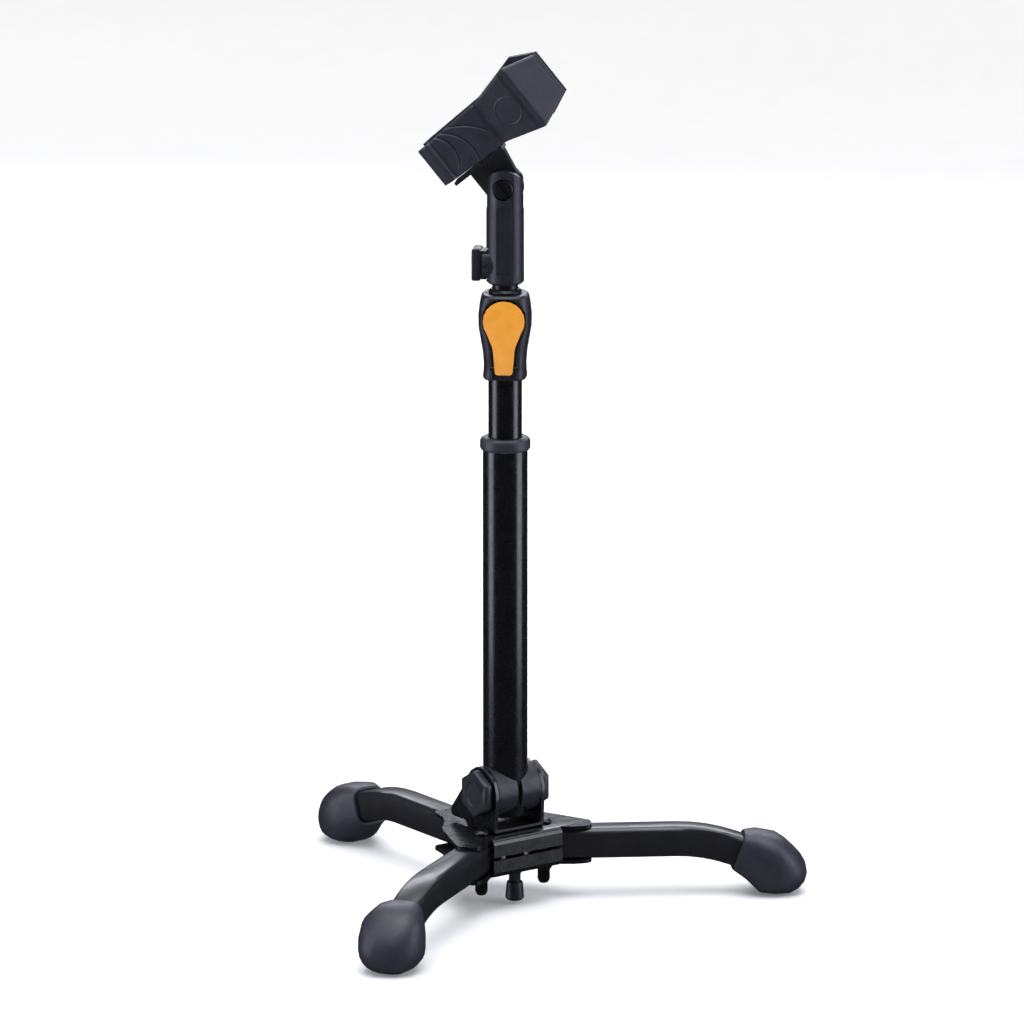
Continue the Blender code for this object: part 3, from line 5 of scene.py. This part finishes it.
import bmesh
import bpy
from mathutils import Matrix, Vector


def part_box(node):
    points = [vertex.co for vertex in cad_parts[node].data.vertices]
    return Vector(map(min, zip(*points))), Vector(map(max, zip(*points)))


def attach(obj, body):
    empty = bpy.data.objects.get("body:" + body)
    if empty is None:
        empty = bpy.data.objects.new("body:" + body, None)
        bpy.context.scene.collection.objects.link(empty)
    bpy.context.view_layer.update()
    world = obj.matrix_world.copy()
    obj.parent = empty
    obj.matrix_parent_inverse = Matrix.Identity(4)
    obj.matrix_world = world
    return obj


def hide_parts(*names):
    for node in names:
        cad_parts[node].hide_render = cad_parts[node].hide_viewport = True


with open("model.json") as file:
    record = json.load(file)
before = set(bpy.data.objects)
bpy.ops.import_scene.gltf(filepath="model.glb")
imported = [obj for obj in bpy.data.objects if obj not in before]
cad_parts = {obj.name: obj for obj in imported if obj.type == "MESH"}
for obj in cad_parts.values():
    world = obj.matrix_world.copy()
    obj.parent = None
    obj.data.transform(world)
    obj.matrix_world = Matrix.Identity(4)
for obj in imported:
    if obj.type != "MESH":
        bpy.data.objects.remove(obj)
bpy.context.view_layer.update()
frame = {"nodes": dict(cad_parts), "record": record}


BODY = {node: body for body, nodes in frame["record"]["behaviour"]["bodies"].items()
        for node in nodes}
SLOT = {part["node"]: part["material_slot"] for part in frame["record"]["subparts"]}
MM = 0.001
TUBE_LOW, TUBE_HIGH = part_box("outer_tube")
MAST = (TUBE_LOW + TUBE_HIGH) / 2
MAST.z = 0.0


# ---------------------------------------------------------------- materials
class Nodes:
    """A material's node tree, written one node a line."""

    def __init__(self, name):
        self.material = bpy.data.materials.new(name)
        self.material.use_nodes = True
        self.tree = self.material.node_tree
        self.shader = self.tree.nodes["Principled BSDF"]
        self.place = self.add("ShaderNodeTexCoord").outputs["Object"]

    def add(self, kind, values=None, links=None, **settings):
        node = self.tree.nodes.new(kind)
        for key, value in settings.items():
            setattr(node, key, value)
        for key, value in (values or {}).items():
            node.inputs[key].default_value = value
        for key, output in (links or {}).items():
            self.tree.links.new(output, node.inputs[key])
        return node

    def noise(self, scale, detail=2.0, roughness=0.5, stretch=None):
        place = self.place
        if stretch:
            place = self.add("ShaderNodeMapping", {"Scale": stretch},
                             {"Vector": place}).outputs["Vector"]
        return self.add("ShaderNodeTexNoise",
                        {"Scale": scale, "Detail": detail, "Roughness": roughness},
                        {"Vector": place}).outputs["Fac"]

    def remap(self, value, low, high, start=0.3, end=0.7):
        return self.add("ShaderNodeMapRange",
                        {"From Min": start, "From Max": end, "To Min": low, "To Max": high},
                        {"Value": value}).outputs["Result"]

    def maths(self, operation, first, second):
        node = self.add("ShaderNodeMath", operation=operation)
        for index, value in enumerate((first, second)):
            if isinstance(value, (int, float)):
                node.inputs[index].default_value = value
            else:
                self.tree.links.new(value, node.inputs[index])
        return node.outputs["Value"]

    def blend(self, factor, first, second):
        return self.add("ShaderNodeMix", {6: (*first, 1), 7: (*second, 1)}, {0: factor},
                        data_type="RGBA").outputs[2]

    def edge(self, radius):
        """How near a point is to an edge, from 0 on the flat to 1 on the edge itself."""
        round_normal = self.add("ShaderNodeBevel", {"Radius": radius}, samples=4)
        flat = self.add("ShaderNodeNewGeometry").outputs["Normal"]
        dot = self.add("ShaderNodeVectorMath", operation="DOT_PRODUCT")
        self.tree.links.new(round_normal.outputs["Normal"], dot.inputs[0])
        self.tree.links.new(flat, dot.inputs[1])
        return self.remap(dot.outputs["Value"], 1.0, 0.0, 0.80, 0.995)

    def bump(self, height, strength, distance, normal=None):
        links = {"Height": height}
        if normal:
            links["Normal"] = normal
        return self.add("ShaderNodeBump", {"Strength": strength, "Distance": distance},
                        links).outputs["Normal"]

    def join(self, output, socket):
        self.tree.links.new(output, self.shader.inputs[socket])


def powder_coat(name, dark, light, wear_and_sheen_tint, gloss, peel):
    """Sprayed black coat: fine orange peel, faint clouding, edges rubbed a little lighter."""
    m = Nodes(name)
    m.shader.inputs["Specular IOR Level"].default_value = 0.55
    m.shader.inputs["Coat Weight"].default_value = 0.25
    m.shader.inputs["Coat Roughness"].default_value = 0.16
    clouds = m.noise(60.0, 4.0)
    wear_and_sheen_mask = m.maths("MULTIPLY", m.edge(0.0006), m.remap(m.noise(900.0, 4.0, 0.65), 0.15, 0.9))
    base = m.add("ShaderNodeMix", {}, {0: m.remap(clouds, 0, 1)}, data_type="RGBA")
    base.inputs[6].default_value = (*dark, 1)
    base.inputs[7].default_value = (*light, 1)
    top = m.add("ShaderNodeMix", {7: (*wear_and_sheen_tint, 1)}, {0: wear_and_sheen_mask, 6: base.outputs[2]},
                data_type="RGBA")
    m.join(top.outputs[2], "Base Color")
    smear = m.remap(m.noise(140.0, 5.0, 0.6), gloss - 0.05, gloss + 0.07)
    m.join(m.maths("ADD", smear, m.maths("MULTIPLY", wear_and_sheen_mask, 0.12)), "Roughness")
    grain = m.bump(m.noise(1500.0, 2.0), peel, 0.00004)
    m.join(m.bump(m.noise(340.0, 2.0), peel, 0.00010, grain), "Normal")
    return m.material


def moulded(name, dark, light, gloss, grain, depth, wear_and_sheen_tint=None, scale=2400.0):
    """Injection-moulded plastic or rubber: spark-eroded grain, edges painted lighter as a soft
    sheen, which is a painted highlight.
    """
    m = Nodes(name)
    m.shader.inputs["Specular IOR Level"].default_value = 0.5
    # The edge tint defaults to 2.2 times the light tone. On mouldings it is a painted sheen,
    # not wear.
    wear_and_sheen_tint = wear_and_sheen_tint or tuple(value * 2.2 for value in light)
    base = m.add("ShaderNodeMix", {6: (*dark, 1), 7: (*light, 1)},
                 {0: m.remap(m.noise(110.0, 5.0, 0.6), 0, 1)}, data_type="RGBA")
    # Painted highlight: the colour is lightened towards the edges to stand in for light caught
    # on them.
    wear_and_sheen_mask = m.maths("MULTIPLY", m.edge(0.0007), m.remap(m.noise(700.0, 3.0), 0.1, 0.8))
    top = m.add("ShaderNodeMix", {7: (*wear_and_sheen_tint, 1)}, {0: wear_and_sheen_mask, 6: base.outputs[2]},
                data_type="RGBA")
    m.join(top.outputs[2], "Base Color")
    m.join(m.remap(m.noise(260.0, 4.0), gloss - 0.06, gloss + 0.08), "Roughness")
    cells = m.add("ShaderNodeTexVoronoi", {"Scale": scale, "Randomness": 1.0},
                  {"Vector": m.place}, feature="SMOOTH_F1").outputs["Distance"]
    pitted = m.bump(cells, grain, depth)
    m.join(m.bump(m.noise(scale * 0.55, 3.0, 0.6), grain, depth, pitted), "Normal")
    return m.material


def bare_metal(name, dark, light, gloss, stretch, metallic=1.0):
    """Turned or drawn metal: fine streaks, a few deeper scratches, patchy polish."""
    m = Nodes(name)
    m.shader.inputs["Metallic"].default_value = metallic
    streak = m.noise(500.0, 6.0, 0.7, stretch)
    base = m.add("ShaderNodeMix", {6: (*dark, 1), 7: (*light, 1)},
                 {0: m.remap(m.noise(180.0, 4.0), 0, 1)}, data_type="RGBA")
    m.join(base.outputs[2], "Base Color")
    m.join(m.remap(streak, gloss - 0.08, gloss + 0.12), "Roughness")
    m.join(m.bump(streak, 0.25, 0.00005), "Normal")
    return m.material


LOOKS = {
    "gloss_black": powder_coat("gloss_black_coat", (0.0026, 0.0027, 0.0046),
                               (0.0042, 0.0043, 0.0070), (0.022, 0.023, 0.034), 0.26, 0.03),
    "leg_black": powder_coat("leg_black_coat", (0.0085, 0.0085, 0.0120),
                             (0.0110, 0.0112, 0.0170), (0.028, 0.029, 0.043), 0.36, 0.05),
    "satin_black": moulded("satin_black_moulding", (0.0125, 0.0130, 0.0220),
                           (0.0170, 0.0176, 0.0290), 0.40, 0.18, 0.00005),
    "rubber": moulded("black_rubber", (0.0190, 0.0198, 0.0330), (0.0260, 0.0270, 0.0440),
                      0.46, 0.26, 0.00007, scale=1700.0),
    "black_zinc": bare_metal("blackened_steel", (0.030, 0.030, 0.038), (0.052, 0.052, 0.062),
                             0.32, (1.0, 1.0, 0.2), 0.85),
    "steel": bare_metal("plain_steel", (0.42, 0.42, 0.44), (0.58, 0.58, 0.60), 0.26,
                        (1.0, 1.0, 6.0)),
    # The yellow's lighter edge tint is a painted sheen.
    "yellow": moulded("yellow_moulding", (0.86, 0.330, 0.026), (0.95, 0.400, 0.040), 0.36,
                      0.12, 0.00004, wear_and_sheen_tint=(1.0, 0.62, 0.16)),
}


# ---------------------------------------------------------------- pieces
def settle(thing, node, look=None):
    """A finished piece takes its CAD node's body, slot and finish and stands for the node."""
    thing.data.materials.clear()
    thing.data.materials.append(LOOKS[look or SLOT[node]])
    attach(thing, BODY[node])
    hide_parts(node)
    return thing


def placed(name, mesh):
    thing = bpy.data.objects.new(name, mesh)
    bpy.context.scene.collection.objects.link(thing)
    return thing


def refined(node, width=0.4, segments=2, angle=32.0, weld=0.004):
    """The CAD node's own shape with its flats joined and its edges rounded, in mm."""
    bm = bmesh.new()
    bm.from_mesh(frame["nodes"][node].data)
    bmesh.ops.remove_doubles(bm, verts=bm.verts, dist=weld * MM)
    bmesh.ops.dissolve_limit(bm, angle_limit=math.radians(0.8), verts=bm.verts,
                             edges=bm.edges, use_dissolve_boundaries=False)
    mesh = bpy.data.meshes.new(node + "_skin")
    bm.to_mesh(mesh)
    bm.free()
    mesh.shade_smooth()
    mesh.set_sharp_from_angle(angle=math.radians(angle))
    thing = placed(node + "_skin", mesh)
    if width:
        edge = thing.modifiers.new("edge", "BEVEL")
        edge.width = width * MM
        edge.segments = segments
        edge.limit_method = "ANGLE"
        edge.angle_limit = math.radians(angle)
        edge.harden_normals = True
        edge.miter_outer = "MITER_ARC"
    return settle(thing, node)


def turned(name, profile, centre, sides=96):
    """A body of revolution about the upright line through `centre`; radius, height in mm."""
    bm = bmesh.new()
    rows = []
    for radius, height in profile:
        z = height * MM
        if radius < 1e-6:
            rows.append([bm.verts.new((centre.x, centre.y, z))])
            continue
        rows.append([bm.verts.new((centre.x + radius * MM * math.cos(turn),
                                   centre.y + radius * MM * math.sin(turn), z))
                     for turn in (2 * math.pi * number / sides for number in range(sides))])
    for low, high in zip(rows, rows[1:] + rows[:1]):
        for number in range(sides):
            after = (number + 1) % sides
            corner = [low[number % len(low)], low[after % len(low)],
                      high[after % len(high)], high[number % len(high)]]
            corner = [v for index, v in enumerate(corner) if v not in corner[:index]]
            if len(corner) > 2:
                bm.faces.new(corner)
    bmesh.ops.recalc_face_normals(bm, faces=bm.faces)
    mesh = bpy.data.meshes.new(name)
    bm.to_mesh(mesh)
    bm.free()
    mesh.shade_smooth()
    mesh.set_sharp_from_angle(angle=math.radians(40))
    return placed(name, mesh)


def rounded(profile, radius, steps=4):
    """The profile with each corner that isn't on the axis rounded."""
    result = []
    count = len(profile)
    for index, point in enumerate(profile):
        here = Vector(point)
        if point[0] < 1e-6:
            result.append(tuple(here))
            continue
        back = Vector(profile[index - 1]) - here
        ahead = Vector(profile[(index + 1) % count]) - here
        reach = min(radius, back.length * 0.45, ahead.length * 0.45)
        start, end = here + back.normalized() * reach, here + ahead.normalized() * reach
        for step in range(steps + 1):
            t = step / steps
            result.append(tuple(start * (1 - t) ** 2 + here * 2 * t * (1 - t) + end * t * t))
    return result


def tube(node, radius, wall, edge=0.5):
    low, high = (corner.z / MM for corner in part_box(node))
    profile = [(radius, low), (radius, high), (radius - wall, high), (radius - wall, low)]
    settle(turned(node + "_skin", rounded(profile, edge), MAST), node)


OUTER_R, INNER_R, TUBE_WALL = 12.7, 9.525, 1.2
tube("outer_tube", OUTER_R, TUBE_WALL)
tube("inner_tube", INNER_R, TUBE_WALL)


# ---------------------------------------------------------------- the jaws' moulded faces
JOINTS = {joint["name"]: joint for joint in frame["record"]["behaviour"]["joints"]}
PIN = Vector(JOINTS["near_jaw_open"]["pos_m"])
ACROSS = -Vector(JOINTS["near_jaw_open"]["axis"]).normalized()
OUTWARD = Vector(JOINTS["clip_tilt"]["axis"]).normalized()
ALONG = OUTWARD.cross(ACROSS)
# In the jaw's own millimetres: place along it from the hinge pin, stand-off outwards.
JAW_LINE = [(-29.9, 11.0), (-24.8, 14.8), (5.0, 9.4), (11.8, 9.0), (38.6, 19.8), (55.2, 5.4)]
# Place, and the edges above and below the jaw's middle.
JAW_WIDE = [(-29.9, 11.9, -12.6), (13.2, 13.9, -14.2), (38.2, 20.4, -20.2),
            (55.2, 14.3, -12.9)]
VALLEYS = [(-20.8, 2.0, 1.0), (11.6, 3.0, 1.0), (36.0, 2.8, 1.05)]  # place, half width, depth
RIPPLES = [(-28.7, 1.3, 16.4), (-26.1, -5.6, 22.3), (-24.1, -21.5, 37.7)]  # centre, radius
RIPPLE_HALF, RIPPLE_DEPTH = 0.85, 0.8
RIPPLES_START, RIPPLES_END = -20.0, 11.0
RIPPLES_FADE_IN, RIPPLES_FADE_OUT = 3.0, 4.0
RING = (26.0, -1.0, 8.0, 0.7, 0.38)  # centre, radius, half width, rise
COVER_RISE, COVER_SUNK, COVER_EDGE, COVER_DROP = 1.15, 1.1, 1.4, 0.9
COVER_START, COVER_LENGTH = -29.8, 84.8
COVER_ROWS, COVER_COLUMNS = 260, 100
BEND_SPREAD = 0.8           # the line's bends are averaged this far each way


def on_line(points, place, column=1):
    """The value of a broken line at a place along it."""
    for low, high in zip(points, points[1:]):
        if place <= high[0]:
            share = (place - low[0]) / (high[0] - low[0])
            return low[column] * (1 - share) + high[column] * share
    return points[-1][column]


def swell(distance, half):
    """A smooth hill, 1 at its middle and 0 from its half width on."""
    return math.cos(min(abs(distance) / half, 1.0) * math.pi / 2) ** 2


def jaw_relief(place, across, edge):
    """How far the moulded face stands off the plain one, in mm."""
    height = COVER_RISE
    for middle, half, depth in VALLEYS:
        height -= depth * swell(place - middle, half)
    if RIPPLES_START < place < RIPPLES_END:
        fade = min(1.0, (place - RIPPLES_START) / RIPPLES_FADE_IN,
                   (RIPPLES_END - place) / RIPPLES_FADE_OUT)
        for along, wide, radius in RIPPLES:
            away = math.hypot(place - along, across - wide) - radius
            height -= RIPPLE_DEPTH * fade * swell(away, RIPPLE_HALF)
    along, wide, radius, half, rise = RING
    height += rise * swell(math.hypot(place - along, across - wide) - radius, half)
    lack = max(0.0, 1.0 - edge / COVER_EDGE)
    return height - COVER_DROP * (1.0 - math.sqrt(max(0.0, 1.0 - lack * lack)))


def jaw_cover(node, side):
    """The moulded face of a jaw: bent bands, ripples on the grip and a plain ring."""
    points = [ACROSS.dot(v.co - PIN) / MM for v in frame["nodes"][node].data.vertices]
    middle = (max(points) + min(points)) / 2
    bm = bmesh.new()
    rows = []
    for step in range(COVER_ROWS + 1):
        place = COVER_START + COVER_LENGTH * step / COVER_ROWS
        top, low = on_line(JAW_WIDE, place), on_line(JAW_WIDE, place, 2)
        near = (place - BEND_SPREAD, place, place + BEND_SPREAD)
        bend = sum(on_line(JAW_LINE, spot) for spot in near) / len(near)
        face, back = [], []
        for count in range(COVER_COLUMNS + 1):
            across = low + (top - low) * count / COVER_COLUMNS
            edge = min(top - across, across - low, place - JAW_LINE[0][0],
                       JAW_LINE[-1][0] - place)
            rise = bend + jaw_relief(place, across, edge)
            spot = PIN + (ALONG * place + ACROSS * (across + middle)) * MM
            face.append(bm.verts.new(spot + OUTWARD * rise * side * MM))
            back.append(bm.verts.new(spot + OUTWARD * (bend - COVER_SUNK) * side * MM))
        rows.append(face + back[::-1])
    for low, high in zip(rows, rows[1:]):
        for index in range(len(low)):
            after = (index + 1) % len(low)
            bm.faces.new((low[index], low[after], high[after], high[index]))
    bm.faces.new(rows[0])
    bm.faces.new(rows[-1][::-1])
    bmesh.ops.recalc_face_normals(bm, faces=bm.faces)
    mesh = bpy.data.meshes.new(node + "_cover")
    bm.to_mesh(mesh)
    bm.free()
    mesh.shade_smooth()
    mesh.set_sharp_from_angle(angle=math.radians(50))
    thing = placed(node + "_cover", mesh)
    thing.data.materials.append(LOOKS["rubber"])
    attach(thing, BODY[node])


jaw_cover("near_jaw", -1)
jaw_cover("far_jaw", 1)

# ---------------------------------------------------------------- smoothed skins
# Width in mm of the rounding on each node's edges.
REFINED = {
    "top_plate": 0.5, "bottom_plate": 0.5, "yoke": 0.5, "rear_leg": 0.0, "left_leg": 0.0,
    "right_leg": 0.0, "rear_foot": 0.8, "left_foot": 0.8, "right_foot": 0.8,
    "left_leg_bolt": 0.4, "right_leg_bolt": 0.4, "rear_leg_bolt_1": 0.4,
    "rear_leg_bolt_2": 0.4, "rear_leg_nut_1": 0.3, "rear_leg_nut_2": 0.3,
    "left_acorn_nut": 0.3, "right_acorn_nut": 0.3, "yoke_rivet": 0.5, "lock_knob": 0.4,
    "left_saddle": 0.5, "right_saddle": 0.5, "tilt_knob": 0.7, "tilt_cap": 0.7,
    "mast_collar": 0.4, "housing_front": 0.3, "housing_rear": 0.3, "trigger": 0.7,
    "stud_nut": 0.4, "mic_stud": 0.4, "adaptor_body": 0.4, "release_button": 0.4,
    "fork_screw": 0.3, "fork_nut": 0.3, "clip_arm": 0.4, "near_jaw": 0.5, "far_jaw": 0.5,
    "near_jaw_pad": 0.3, "far_jaw_pad": 0.3, "hinge_pin": 0.3,
}
for node, width in REFINED.items():
    refined(node, width)

for node, thing in frame["nodes"].items():
    for index in range(max(1, len(thing.material_slots))):
        if thing.material_slots:
            thing.material_slots[index].material = LOOKS[SLOT[node]]


# ---------------------------------------------------------------- stage, light and camera
FLOOR_HALF, BACKDROP_R = 9.0, 26.0
FLOOR_GLOW, BACKDROP_GLOW = 0.14, 1.12
COOL = (0.88, 0.91, 1.0)
SUN_POWER, SUN_SPREAD, WORLD_LIGHT = 2.7, 70, 0.03
LIGHT_AIM = Vector((MAST.x, MAST.y, 0.22))


def stage():
    bm = bmesh.new()
    bmesh.ops.create_grid(bm, x_segments=8, y_segments=8, size=FLOOR_HALF)
    mesh = bpy.data.meshes.new("floor")
    bm.to_mesh(mesh)
    bm.free()
    floor = placed("floor", mesh)
    m = Nodes("pale_floor")
    m.join(m.blend(m.remap(m.noise(1.3, 3.0), 0, 1), (0.90, 0.90, 0.905), (0.93, 0.93, 0.935)),
           "Base Color")
    m.join(m.remap(m.noise(40.0, 3.0), 0.62, 0.75), "Roughness")
    m.join(m.bump(m.noise(900.0, 2.0), 0.05, 0.0001), "Normal")
    m.shader.inputs["Emission Color"].default_value = (1.0, 1.0, 1.0, 1)
    m.shader.inputs["Emission Strength"].default_value = FLOOR_GLOW
    mesh.materials.append(m.material)
    floor.visible_glossy = False
    bm = bmesh.new()
    bmesh.ops.create_uvsphere(bm, u_segments=48, v_segments=24, radius=BACKDROP_R)
    mesh = bpy.data.meshes.new("backdrop")
    bm.to_mesh(mesh)
    bm.free()
    backdrop = placed("backdrop", mesh)
    m = Nodes("pale_backdrop")
    shade = m.blend(m.remap(m.noise(0.05, 2.0), 0, 1), (0.88, 0.88, 0.885), (0.90, 0.90, 0.905))
    m.join(shade, "Emission Color")
    m.shader.inputs["Emission Strength"].default_value = BACKDROP_GLOW
    m.shader.inputs["Base Color"].default_value = (0, 0, 0, 1)
    m.shader.inputs["Specular IOR Level"].default_value = 0.0
    mesh.materials.append(m.material)
    for ray in ("glossy", "diffuse", "shadow", "transmission"):
        setattr(backdrop, "visible_" + ray, False)


AZIMUTH = math.radians(-36.05)
ELEVATION = math.radians(13.5)
DISTANCE = 4.6
VIEW_WIDTH = 0.5795133      # metres across the picture at the mast
SENSOR = 36.0
OUT = Vector((math.sin(AZIMUTH) * math.cos(ELEVATION),
              -math.cos(AZIMUTH) * math.cos(ELEVATION), math.sin(ELEVATION)))
RIGHT = Vector((math.cos(AZIMUTH), math.sin(AZIMUTH), 0.0))
UP = OUT.cross(RIGHT)
AIM_HEIGHT, AIM_RIGHT, AIM_UP = 0.225, 0.00385, 0.00245
AIM = Vector((MAST.x, MAST.y, AIM_HEIGHT)) + RIGHT * AIM_RIGHT + UP * AIM_UP


def look_from(direction, thing, distance, aim):
    thing.location = aim + direction * distance
    thing.rotation_euler = direction.to_track_quat("Z", "Y").to_euler()


def camera():
    data = bpy.data.cameras.new("camera")
    data.sensor_width = SENSOR
    data.lens = DISTANCE / VIEW_WIDTH * SENSOR
    data.clip_end = 60.0
    eye = bpy.data.objects.new("camera", data)
    bpy.context.scene.collection.objects.link(eye)
    look_from(OUT, eye, DISTANCE, AIM)
    bpy.context.scene.camera = eye


def soft_light(name, azimuth, elevation, distance, width, height, power):
    """A softbox seen from the stand at an angle from the camera's side, in degrees."""
    a = AZIMUTH + math.radians(azimuth)
    e = math.radians(elevation)
    data = bpy.data.lights.new(name, "AREA")
    data.shape = "RECTANGLE"
    data.size = width
    data.size_y = height
    data.energy = power
    data.color = COOL
    lamp = bpy.data.objects.new(name, data)
    bpy.context.scene.collection.objects.link(lamp)
    direction = Vector((math.sin(a) * math.cos(e), -math.cos(a) * math.cos(e), math.sin(e)))
    look_from(direction, lamp, distance, LIGHT_AIM)


def lights():
    soft_light("left_box", -78, 10, 1.6, 0.85, 1.7, 15)
    soft_light("right_box", 78, 10, 1.6, 0.85, 1.7, 15)
    soft_light("top_box", 30, 78, 1.5, 1.0, 1.0, 7)
    soft_light("rear_strip", 175, 25, 1.9, 1.6, 0.5, 14)
    sky = bpy.data.lights.new("sky", "SUN")
    sky.energy = SUN_POWER
    sky.angle = math.radians(SUN_SPREAD)
    lamp = bpy.data.objects.new("sky", sky)
    bpy.context.scene.collection.objects.link(lamp)
    world = bpy.data.worlds.new("studio")
    world.use_nodes = True
    background = world.node_tree.nodes["Background"]
    background.inputs["Color"].default_value = (0.92, 0.94, 1.0, 1)
    background.inputs["Strength"].default_value = WORLD_LIGHT
    bpy.context.scene.world = world
    bpy.context.scene.view_settings.view_transform = "Standard"


stage()
camera()
lights()
bpy.context.view_layer.update()
